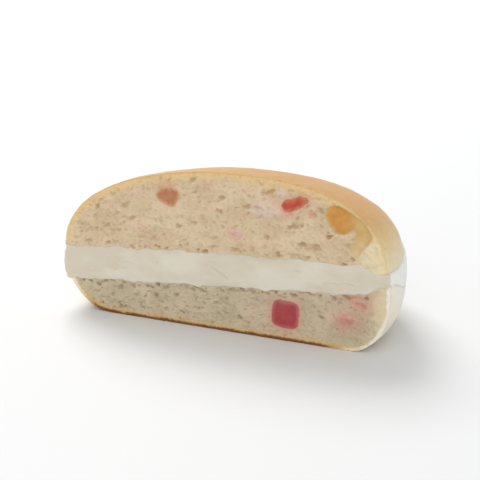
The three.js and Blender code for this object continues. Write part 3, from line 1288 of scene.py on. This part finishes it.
@dataclass(frozen=True)
class Crumb:
    """Crown or heel: crumb with its crust, opened by the knife.

    The pale end turns the way the crust at the right end counts as facing, and so its colours, towards the
    paler stops; it sets in over pale_fade along the cut. The fades of the cut and of the marks on the crumb
    are depths behind the cut. Those of the skin, the films and the pocket's roof are depths inside the
    crust, and base_fade goes by the way the crust faces, so that the base stays flat. Pores and cells take
    more painted shade as they get deeper.
    """

    form: BunForm
    finish: BreadFinish
    name: str
    node: str
    seam: SeamFace
    inward: int
    fruit: tuple[CutFruit, ...]
    bubbles: tuple[Hollow, ...]
    marked: tuple[Hollow, ...]
    fields: tuple[PoreField, ...]
    stains_and_light: tuple[StainAndLight, ...]
    films: tuple[CreamFilm, ...]
    pits: PitRow
    spongy: float
    pale_end: float
    pale_fade: Fade = (31, 43)
    pale_fray: Swell = Swell(6, 2.5, 9.0)
    overlap: float = 0.35
    margin: float = 1.5
    seam_margin: float = 0.7
    flow_height: float = 24.0
    flow_length: float = 42.0
    ripple_reach: float = 6.0
    cut_deep: float = 0.5
    cut_cuts: int = 2
    cut_fade: Fade = (0.3, 0.05)
    skin_fade: Fade = (0.7, 0.0)
    film_fade: Fade = (0.7, 0.25)
    base_fade: Fade = (-0.9, -0.5)
    skin_swells: tuple[Swell, ...] = (Swell(9, 0.2, 1.0), Swell(2.8, 0.08, 5.0))
    pore_bend: Swell = Swell(1.2, 0.4, 12.0)
    pore_lip: float = 0.07
    pore_shade_fade: Fade = (0.08, 0.8)
    cells: Swell = Swell(1.5, 1.0, 4.0)
    cell_stretch: tuple[float, float, float] = (0.85, 1, 1)
    cell_shade_fade: Fade = (0.12, 0.5)
    grain: tuple[Swell, ...] = (Swell(2.4, 0.12, 2.0), Swell(0.8, 0.06, 6.0))
    fruit_clear: float = 1.15
    pocket_bend: Swell = Swell(2.6, 0.6, 21.0)
    pocket_roof: Fade = (0.3, 1.4)
    pocket_smooth: Fade = (0.0, 0.5)
    pocket_calm: float = 0.8
    pocket_edge: Fade = (1.16, 0.84)
    pocket_fray: float = 0.1
    amber_glow_fade: Fade = (4.6, -1.5)
    stain_frays: tuple[Swell, ...] = (Swell(1.4, 1.0, 4.0), Swell(0.7, 0.5, 7.0))
    stain_fade: Fade = (5, 1)
    halo_fray: float = 0.5

    def lowest(self, x: float) -> float:
        """Gives the lowest place for a pore."""
        raise NotImplementedError

    def highest(self, x: float) -> float:
        """Gives the highest place for a pore."""
        raise NotImplementedError

    def flow(self, x: float, z: float) -> float:
        """Gives the way the dough rose, as a tilt: level at the seam and along the crust above."""
        away = abs(z - self.seam.on_cut(x)) / self.flow_height
        return -math.atan((x - self.form.crown_shift) / self.flow_length) * min(1.0, away)

    def pores(self) -> list[Hollow]:
        """Gathers the marked pores, the scattered ones and the row of pits along the cream."""
        found = list(self.marked)
        for scattered in self.fields:
            found += scattered.scatter(self.lowest, self.highest, self.flow)
        return found + self.pits.scatter(self.seam, self.inward)

    def shape(self) -> bmesh.types.BMesh:
        """Splits the baked bun at the seam and cuts it at the knife's plane."""
        shape = self.form.baked()
        point, up = self.seam.plane(-self.inward * self.overlap)
        slice_off(shape, point, -self.inward * up)
        slice_off(shape, Vector((0, 0, 0)), TOWARDS_KNIFE)
        return shape

    def ripple(self, skin: Skin) -> None:
        """Gives the face at the seam its bow and waves."""
        x, y, z = skin.points.T
        away = np.abs(z - self.seam.level(x, y))
        skin.points[:, 2] += self.seam.ripple(x, y) * smoothstep(self.ripple_reach, 0, away)

    def square_up(self, mesh: bpy.types.Mesh, baked: BVHTree, reach: float) -> None:
        """Gives the mesh back the sharp edges that the evening rounded off.

        Args:
            mesh: the evened mesh.
            baked: the whole bun's skin.
            reach: how far off a face its points may lie, in millimetres.
        """
        skin = Skin(mesh)
        skin.draw_to(baked, reach)
        x, y, _ = skin.points.T
        skin.flatten(2, self.seam.level(x, y) - self.inward * self.overlap, reach)
        skin.flatten(1, 0.0, reach)
        skin.settle()

    def bake(self, skin: Skin, baked: BVHTree) -> np.ndarray:
        """Makes the crust uneven and lays the films of cream on it.

        Args:
            skin: the piece's points.
            baked: the whole bun's skin.

        Returns:
            How far each point lies inside the crust.
        """
        depth, normal = skin.nearest(baked)
        skin.store("depth", depth)
        along = skin.points[:, 0] + self.pale_fray.at(skin.points)
        skin.store("facing", normal[:, 2] + self.pale_end * smoothstep(*self.pale_fade, along))
        film = np.zeros(len(skin.points))
        thick = np.zeros(len(skin.points))
        for wiped in self.films:
            share = wiped.share(self.form, skin.points) * smoothstep(*self.film_fade, depth)
            film = np.maximum(film, share)
            thick = np.maximum(thick, share * wiped.thick)
        skin.store("film", film)
        swell = swung(skin.points, self.skin_swells) + thick
        outside = smoothstep(*self.skin_fade, depth) * smoothstep(*self.base_fade, normal[:, 2])
        skin.points += normal * (outside * swell)[:, None]
        return depth

    def open_up(self, skin: Skin, on_cut: np.ndarray, depth: np.ndarray) -> None:
        """Sinks bubbles, sockets and pores into the cut, gives it the crumb's small cells and marks the
        painted shade of the deeper pores and cells.

        Args:
            skin: the piece's points.
            on_cut: 1 for what lies on the cut.
            depth: how far each point lies inside the crust, which no bubble breaks.
        """
        points = skin.points
        torn_places = self.pore_bend.bend(points)
        pores = sunk(torn_places, self.pores(), lip=self.pore_lip)
        bubbles = pooled(self.pocket_bend.bend(points), self.bubbles) * smoothstep(*self.pocket_roof, depth)
        sockets = sunk(points, [piece.socket() for piece in self.fruit])
        smooth = smoothstep(*self.pocket_smooth, bubbles)
        for piece in self.fruit:
            pores *= piece.outline().spread(points[:, 0], points[:, 2]) > self.fruit_clear
        cells = np.abs(self.cells.at(torn_places * self.cell_stretch))
        grain = swung(points, self.grain) + self.spongy * cells
        # painted shade: pores and cells are marked darker the deeper they sink
        painted_cell_shade = self.spongy * smoothstep(*self.cell_shade_fade, cells)
        painted_shade = np.maximum(smoothstep(*self.pore_shade_fade, pores), painted_cell_shade)
        skin.store("pore", painted_shade * on_cut * (1 - smooth))
        points[:, 1] += on_cut * np.maximum(bubbles, sockets)
        torn_deep = pores * (bubbles + sockets == 0) + grain
        points[:, 1] += on_cut * (1 - self.pocket_calm * smooth) * torn_deep

    def tint(self, skin: Skin, on_cut: np.ndarray) -> None:
        """Marks the pockets' painted glow of light through the crust, where fruit marked the crumb, and the
        painted light at the crumb's right end.
        """
        x, y, z = skin.points.T
        ragged = swung(skin.points, self.stain_frays)
        shares = {mark: np.zeros(len(skin.points)) for mark in Mark}
        for piece in self.fruit:
            past = (piece.outline().spread(x, z) - 1) * min(piece.half[0], piece.half[2])
            past = np.clip(past + self.halo_fray * ragged, 0, None)
            halo = piece.halo * np.exp(-past / piece.halo_reach)
            shares[Mark.PINK] = np.maximum(shares[Mark.PINK], halo)
        for stain in self.stains_and_light:
            share = stain.share(skin.points, ragged)
            shares[stain.mark] = np.maximum(shares[stain.mark], share)
        for mark, share in shares.items():
            skin.store(mark.value, share * smoothstep(*self.stain_fade, y))
        # How strongly each pocket takes the painted glow of light through the crust, and where the first
        # one has it full rather than paler.
        hollow = np.zeros(len(skin.points))
        amber_glow = np.zeros(len(skin.points))
        wandering = self.pocket_bend.bend(skin.points)
        for number, bubble in enumerate(self.bubbles):
            spread = bubble.spread(wandering[:, 0], wandering[:, 2])
            inside = smoothstep(*self.pocket_edge, spread + self.pocket_fray * ragged)
            hollow = np.maximum(hollow, bubble.tone * inside)
            if number == 0:
                amber_glow = inside * smoothstep(*self.amber_glow_fade, x - bubble.x + ragged)
        skin.store("hollow", hollow * on_cut)
        skin.store("amber_glow", amber_glow)

    def build(self, homing: Homing, voxel: float) -> bpy.types.Object:
        """Makes and dresses the piece.

        Args:
            homing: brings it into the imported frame.
            voxel: size of its faces away from the cut, in millimetres.

        Returns:
            The finished piece.
        """
        baked = BVHTree.FromBMesh(self.form.baked())
        mesh = evened(self.name, self.shape(), voxel)
        self.square_up(mesh, baked, SQUARE_WITHIN * voxel)
        refine_cut(mesh, self.cut_deep, self.cut_cuts)
        skin = Skin(mesh)
        on_cut = smoothstep(*self.cut_fade, skin.points[:, 1])
        skin.store("cut", on_cut)
        self.tint(skin, on_cut)
        depth = self.bake(skin, baked)
        self.ripple(skin)
        self.open_up(skin, on_cut, depth)
        skin.settle()
        return homing.finish(self.name, mesh, self.finish.material(), "crumb", [self.node])


@dataclass(frozen=True)
class Crown(Crumb):
    """The domed upper part."""

    finish: BreadFinish = CROWN_FINISH
    name: str = "crown"
    node: str = "bun_crown"
    seam: SeamFace = BunForm.cream_high
    inward: int = 1
    fruit: tuple[CutFruit, ...] = CROWN_FRUIT
    bubbles: tuple[Hollow, ...] = POCKETS
    marked: tuple[Hollow, ...] = (
        torn(22.2, 33.8, 1.7, 0.7, 0.15),
        torn(33.0, 32.3, 0.9, 0.8, 0.6),
        torn(28.7, 28.5, 1.3, 0.6, -0.2),
        torn(22.4, 25.6, 2.0, 0.5, 0.05),
        torn(14.4, 29.8, 0.9, 0.6, 0.3),
        torn(-8.0, 31.2, 1.1, 0.55, 0.2),
        torn(-7.6, 40.3, 0.8, 0.5, 0.3),
        torn(1.0, 31.1, 0.9, 0.5),
        torn(-2.2, 24.7, 1.9, 0.5, 0.2),
        torn(5.3, 25.2, 1.3, 0.45, -0.1),
        torn(10.2, 25.4, 0.9, 0.4, 0.2),
        torn(8.6, 36.0, 0.8, 0.45, 0.4),
        torn(-28.0, 30.0, 1.4, 0.6, 0.5),
        torn(-36.0, 27.0, 1.1, 0.5, 0.6),
    )
    fields: tuple[PoreField, ...] = (
        PoreField(40, 21, 45, (0.4, 0.75), (1.2, 2.4), 1.0),
        PoreField(230, 22, 47, (0.26, 0.45), (1.1, 2.6), 1.1),
        PoreField(750, 24, 48, (0.2, 0.3), (1.0, 2.6), 0.9),
    )
    stains_and_light: tuple[StainAndLight, ...] = (
        StainAndLight(Mark.PINK, 4.6, 29.4, 3.0, 1.9, 0.4),
        StainAndLight(Mark.PINK, 28.0, 38.4, 1.6, 1.3, 0.5),
        StainAndLight(Mark.PINK, 20.9, 38.4, 2.6, 1.9, 0.75),
        StainAndLight(Mark.LILAC, 18.8, 43.2, 1.7, 1.2, 0.42),
        StainAndLight(Mark.LILAC, 14.0, 37.5, 5.5, 2.6, 0.28),
        StainAndLight(Mark.LILAC, 5.2, 29.6, 2.4, 1.6, 0.3),
        StainAndLight(Mark.TOASTED, 8.4, 26.4, 3.4, 1.5, 0.16),
        StainAndLight(Mark.TOASTED, 14.4, 43.0, 1.6, 1.0, 0.45),
        StainAndLight(Mark.TOASTED, -15.0, 41.6, 2.6, 1.2, 0.35),
        # painted light on the crown's lit right end
        StainAndLight(Mark.RIGHT_END_LIGHT, 46.0, 28.0, 6.5, 7.5, 0.75),
    )
    films: tuple[CreamFilm, ...] = ()
    pits: PitRow = PitRow(30, 23)
    spongy: float = 0.26
    pale_end: float = 0.0

    def lowest(self, x: float) -> float:
        """Gives the lowest place for a pore, just over the cream."""
        return self.seam.on_cut(x) + self.seam_margin

    def highest(self, x: float) -> float:
        """Gives the highest place for a pore, inside the crust."""
        return self.form.crust_height(x) - self.margin


@dataclass(frozen=True)
class Heel(Crumb):
    """The flat-based lower part."""

    finish: BreadFinish = HEEL_FINISH
    name: str = "heel"
    node: str = "bun_heel"
    seam: SeamFace = BunForm.cream_low
    inward: int = -1
    fruit: tuple[CutFruit, ...] = HEEL_FRUIT
    bubbles: tuple[Hollow, ...] = ()
    marked: tuple[Hollow, ...] = (
        torn(-20.6, 7.4, 1.0, 0.65, -0.3),
        torn(-18.9, 5.8, 0.8, 0.45),
        torn(-8.1, 12.2, 1.1, 0.45, -0.5),
        torn(-5.5, 11.1, 1.6, 0.6, -0.2),
        torn(-1.4, 8.1, 1.0, 0.5, 0.1),
        torn(9.5, 13.4, 1.3, 0.5),
        torn(10.4, 11.2, 0.9, 0.4, 0.2),
        torn(15.9, 14.2, 1.4, 0.5, 0.15),
        torn(6.2, 4.8, 0.9, 0.6, -0.1),
        torn(-6.8, 5.4, 0.8, 0.5),
        torn(27.5, 15.2, 1.9, 0.5, -0.3),
        torn(31.1, 8.6, 0.9, 0.6, -0.4),
        torn(34.6, 15.3, 1.1, 0.4),
        torn(-32.0, 8.4, 1.1, 0.55, 0.2),
    )
    fields: tuple[PoreField, ...] = (
        PoreField(26, 31, 42, (0.35, 0.6), (1.1, 2.0), 1.2),
        PoreField(190, 32, 46, (0.24, 0.4), (1.0, 2.2), 1.3),
        PoreField(460, 34, 48, (0.2, 0.28), (1.0, 2.4), 1.0),
    )
    stains_and_light: tuple[StainAndLight, ...] = (
        StainAndLight(Mark.PINK, 43.2, 14.6, 3.6, 2.5, 0.35),
        StainAndLight(Mark.PINK, 38.4, 8.6, 4.0, 2.8, 0.35),
        StainAndLight(Mark.TOASTED, 40.2, 15.4, 1.0, 0.8, 0.3),
        # painted light on the heel's lit right end
        StainAndLight(Mark.RIGHT_END_LIGHT, 49.5, 12.0, 4.5, 13.0, 0.6),
    )
    films: tuple[CreamFilm, ...] = (CreamFilm(middle=0.05, half_width=5.5, top=19.5, foot=12.0),)
    pits: PitRow = PitRow(58, 33)
    spongy: float = 0.2
    pale_end: float = 0.4

    def lowest(self, x: float) -> float:
        """Gives the lowest place for a pore, inside the baked base."""
        return self.form.base_height(x) + self.margin

    def highest(self, x: float) -> float:
        """Gives the highest place for a pore, just under the cream."""
        return self.seam.on_cut(x) - self.seam_margin


# ---- Cream ----


def crease(x: float, z: float, long: float, high: float, tilt: float, deep: float) -> Hollow:
    """Describes a shallow crease that the knife left in the cream."""
    return Hollow(x, z, long, high, tilt, deep, jag=0.1, wall=0.9)


@dataclass(frozen=True)
class WhippedCream:
    """The layer of cream between heel and crown, swollen out of the seam.

    The fades of the cut and of its darker colour, partly dulled by crumbs and partly painted shade, are
    depths behind it. The folds of the edge that was squeezed out set in over fold_fade, measured inwards
    from the bun's radius.
    """

    form: BunForm
    finish: CreamFinish = field(default_factory=CreamFinish)
    name: str = "cream"
    node: str = "cream_filling"
    bulge: float = 0.75
    bulge_wave: float = 0.7
    flush: float = 1.1
    flush_spread: float = 0.4
    tuck: float = 0.45
    spill: float = 0.55
    spill_spread: float = 0.16
    overreach: float = 1.25
    edge_rows: int = 18
    press: float = 0.3
    proud: float = 0.12
    cut_deep: float = 0.4
    cut_cuts: int = 2
    cut_fade: Fade = (0.25, 0.0)
    cut_shade_fade: Fade = (1.2, 0.1)
    streak: Swell = Swell(1.8, 0.1, 2.0)
    streak_stretch: tuple[float, float, float] = (0.14, 1, 1)
    unevenness: Swell = Swell(5, 0.1, 7.0)
    folds: tuple[Swell, ...] = (Swell(4.5, 0.3, 3.0), Swell(1.7, 0.14, 9.0))
    fold_fade: Fade = (5, 1)
    crease_bend: Swell = Swell(2.2, 0.9, 5.0)
    crease_lip: float = 0.12
    creases: tuple[Hollow, ...] = (
        crease(0.2, 16.9, 3.8, 0.7, -0.45, 0.3),
        crease(24.0, 21.0, 1.6, 0.5, 0.2, 0.35),
        crease(-31.0, 15.0, 4.0, 0.9, 0.3, 0.25),
        crease(36.0, 18.4, 4.6, 1.1, 0.2, 0.2),
    )

    def level(self, x: np.ndarray, y: np.ndarray, across: np.ndarray) -> np.ndarray:
        """Gives a height in the layer, with across from -1 at its lower face to 1 at its upper."""
        low = self.form.cream_low.level(x, y)
        high = self.form.cream_high.level(x, y)
        return low + (high - low) * (1 + across) / 2

    def standing_out(self, angle: np.ndarray) -> np.ndarray:
        """Gives how far the cream stands out of the seam, which is least at the right end."""
        wave = 0.6 * np.sin(4 * angle + 1.1) + 0.4 * np.sin(9 * angle + 0.3)
        wiped = self.flush * np.exp(-((angle / self.flush_spread) ** 2))
        return self.bulge + self.bulge_wave * wave - wiped

    def disc_points(self, angle: np.ndarray, row: np.ndarray) -> np.ndarray:
        """Gives the skin of a disc that is taller than the seam, pole to pole."""
        across = self.overreach * np.clip(2 * (row - 1) / self.edge_rows - 1, -1, 1)
        rim = self.form.heel_points(angle, np.zeros_like(angle))
        out = self.standing_out(angle) * (1 - across**2)
        spilt = self.spill * np.exp(-((angle / self.spill_spread) ** 2))
        radius = self.form.ring_radius(angle) - self.tuck + spilt + out
        y = self.form.cut_offset + radius * np.sin(angle)
        points = np.stack([radius * np.cos(angle), y, self.level(rim[:, 0], rim[:, 1], across)], axis=1)
        for pole, side in ((0, -1.0), (self.edge_rows + 2, 1.0)):
            height = self.level(0.0, self.form.cut_offset, side * self.overreach)
            points[row == pole] = (0, self.form.cut_offset, height)
        return points

    def shape(self) -> bmesh.types.BMesh:
        """Slices the disc to the seam and at the knife's plane."""
        shape = lathe(self.edge_rows + 3, self.form.columns, self.disc_points)
        low, up = self.form.cream_low.plane(-self.press)
        slice_off(shape, low, -up)
        high, up = self.form.cream_high.plane(self.press)
        slice_off(shape, high, up)
        slice_off(shape, Vector((0, -self.proud, 0)), TOWARDS_KNIFE)
        return shape

    def ripple(self, skin: Skin) -> None:
        """Lets the layer follow the waves of the crumb it is pressed between."""
        x, y, z = skin.points.T
        low, high = self.form.cream_low, self.form.cream_high
        share = np.clip((z - low.level(x, y)) / (high.level(x, y) - low.level(x, y)), 0, 1)
        skin.points[:, 2] += low.ripple(x, y) * (1 - share) + high.ripple(x, y) * share

    def drag(self, skin: Skin, on_cut: np.ndarray) -> None:
        """Marks the cut with the knife's drag, and folds the edge that was squeezed out."""
        x, y, _ = skin.points.T
        streak = self.streak.at(skin.points * self.streak_stretch) + self.unevenness.at(skin.points)
        radius = np.hypot(x, y - self.form.cut_offset)
        inner, outer = (self.form.radius - inset for inset in self.fold_fade)
        rim = smoothstep(inner, outer, radius) * (1 - on_cut)
        fold = swung(skin.points, self.folds)
        creased = sunk(self.crease_bend.bend(skin.points), self.creases, lip=self.crease_lip)
        skin.points[:, 1] += on_cut * (streak + creased)
        skin.points[:, 0] += rim * fold * x / radius
        skin.points[:, 1] += rim * fold * (y - self.form.cut_offset) / radius

    def build(self, homing: Homing, voxel: float) -> bpy.types.Object:
        """Makes and dresses the layer.

        Args:
            homing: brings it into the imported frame.
            voxel: size of its faces away from the cut, in millimetres.

        Returns:
            The finished piece.
        """
        mesh = evened(self.name, self.shape(), voxel)
        rounded = Skin(mesh)
        rounded.flatten(1, -self.proud, SQUARE_WITHIN * voxel)
        rounded.settle()
        refine_cut(mesh, self.cut_deep, self.cut_cuts)
        skin = Skin(mesh)
        on_cut = smoothstep(*self.cut_fade, skin.points[:, 1])
        skin.store("cut", smoothstep(*self.cut_shade_fade, skin.points[:, 1]))
        self.ripple(skin)
        self.drag(skin, on_cut)
        skin.settle()
        return homing.finish(self.name, mesh, self.finish.material(), "cream", [self.node])


@dataclass(frozen=True)
class LooseCrumbs:
    """Crumbs that the knife dragged onto the cream, the share off_crown of them from the crown's side.

    Each is pressed to the share flat of its thickness. A larger lump_scale makes its lumps finer.
    """

    form: BunForm
    finish: LooseCrumbFinish = field(default_factory=LooseCrumbFinish)
    name: str = "loose_crumbs"
    count: int = 16
    seed: int = 41
    size: tuple[float, float] = (0.18, 0.42)
    ends: tuple[float, float] = (-45, 46)
    edge: float = 0.3
    off_crown: float = 0.6
    stretch: tuple[float, float] = (1, 1.7)
    flat: float = 0.55
    lumps: float = 0.9
    lump_scale: float = 2.6

    def crumb_place(self, draw: random.Random) -> tuple[float, float]:
        """Picks a place on the cream, mostly near one of its edges."""
        x = draw.uniform(*self.ends)
        low = self.form.cream_low.on_cut(x) + self.edge
        high = self.form.cream_high.on_cut(x) - self.edge
        inset = draw.random() ** 3 * (high - low) / 2
        return x, (high - inset if draw.random() < self.off_crown else low + inset)

    def build(self, homing: Homing) -> bpy.types.Object:
        """Makes and dresses the crumbs as one piece."""
        draw = random.Random(self.seed)
        shape = bmesh.new()
        for _ in range(self.count):
            x, z = self.crumb_place(draw)
            radius = self.size[0] + (self.size[1] - self.size[0]) * draw.random() ** 2
            turn = Matrix.Rotation(draw.uniform(0, TAU), 4, "Y")
            squash = Matrix.Diagonal((draw.uniform(*self.stretch), self.flat, 1, 1))
            move = Matrix.Translation((x, 0, z)) @ turn @ squash
            made = bmesh.ops.create_icosphere(shape, subdivisions=3, radius=radius, matrix=move)
            for vert in made["verts"]:
                lump = noise.noise(vert.co * self.lump_scale)
                vert.co += (vert.co - move.translation) * self.lumps * lump
        mesh = bpy.data.meshes.new(self.name)
        shape.to_mesh(mesh)
        shape.free()
        return homing.finish(self.name, mesh, self.finish.material(), "crumb")


# ---- Studio ----


@dataclass(frozen=True)
class SoftLight:
    """A square soft light that looks at the bun."""

    name: str
    place: tuple[float, float, float]
    size: float
    watts: float
    colour: Colour

    def build(self, aim: Vector) -> None:
        """Hangs the light."""
        lamp = bpy.data.lights.new(self.name, "AREA")
        lamp.shape = "SQUARE"
        lamp.size = self.size
        lamp.energy = self.watts
        lamp.color = self.colour
        holder = bpy.data.objects.new(self.name, lamp)
        holder.location = self.place
        holder.rotation_euler = (aim - Vector(self.place)).to_track_quat("-Z", "Y").to_euler()
        bpy.context.scene.collection.objects.link(holder)


@dataclass(frozen=True)
class Studio:
    """Pale floor, soft light and the camera."""

    camera_place: tuple[float, float, float] = (194.1, -414.4, 175.5)
    camera_aim: tuple[float, float, float] = (0.0, 14.0, 23.0)
    lens: float = 128.0
    sensor: float = 36.0
    clip: tuple[float, float] = (0.01, 20.0)
    floor_size: float = 6.0
    floor_colour: Colour = (0.79, 0.8, 0.81)
    sky_colour: Colour = (1.0, 1.0, 1.0)
    sky_strength: float = 0.62
    lights: tuple[SoftLight, ...] = (
        SoftLight("window", (-0.55, 0.5, 0.85), 0.6, 9.0, (1.0, 0.99, 0.97)),
        SoftLight("fill", (0.3, -0.9, 0.5), 0.8, 3.0, (1.0, 0.98, 0.95)),
    )

    def floor(self) -> None:
        """Lays a plain pale floor under the bun."""
        shape = bmesh.new()
        bmesh.ops.create_grid(shape, x_segments=1, y_segments=1, size=self.floor_size / 2)
        floor = bench_object("floor", shape)
        mix = Recipe("pale_floor")
        mix.set(Base_Color=self.floor_colour, Roughness=0.6, Specular_IOR_Level=0.2)
        floor.data.materials.append(mix.material)

    def sky(self) -> None:
        """Surrounds the scene with even pale light."""
        world = bpy.data.worlds.new("pale_room")
        world.use_nodes = True
        background = world.node_tree.nodes["Background"]
        background.inputs["Color"].default_value = (*self.sky_colour, 1)
        background.inputs["Strength"].default_value = self.sky_strength
        bpy.context.scene.world = world

    def camera(self, homing: Homing) -> None:
        """Sets the camera at the photo's viewing angle."""
        data = bpy.data.cameras.new("camera")
        data.lens = self.lens
        data.sensor_width = self.sensor
        data.clip_start, data.clip_end = self.clip
        holder = bpy.data.objects.new("camera", data)
        holder.location = homing.point(*self.camera_place)
        way = homing.point(*self.camera_aim) - holder.location
        holder.rotation_euler = way.to_track_quat("-Z", "Y").to_euler()
        bpy.context.scene.collection.objects.link(holder)
        bpy.context.scene.camera = holder

    def build(self, homing: Homing) -> None:
        """Sets up the whole studio."""
        self.camera(homing)
        self.floor()
        self.sky()
        for light in self.lights:
            light.build(homing.point(*self.camera_aim))
        bpy.context.scene.view_settings.view_transform = "Standard"


# ---- Assembly ----


class Fineness(Enum):
    """Size of the faces away from the cut, in millimetres."""

    DRAFT = 1.0
    FINAL = 0.6


def main() -> None:
    """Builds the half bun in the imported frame."""
    logging.basicConfig(level=logging.INFO, format="%(message)s")
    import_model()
    form = BunForm()
    homing = Homing.from_frame(FRUIT_CUBE.x)
    voxel = Fineness.FINAL.value
    Studio().build(homing)
    Crown(form).build(homing, voxel)
    Heel(form).build(homing, voxel)
    WhippedCream(form).build(homing, voxel)
    LooseCrumbs(form).build(homing)
    for piece in (*HEEL_FRUIT, *CROWN_FRUIT):
        piece.build(homing, voxel * FRUIT_FACES)


if __name__ == "__main__":
    main()
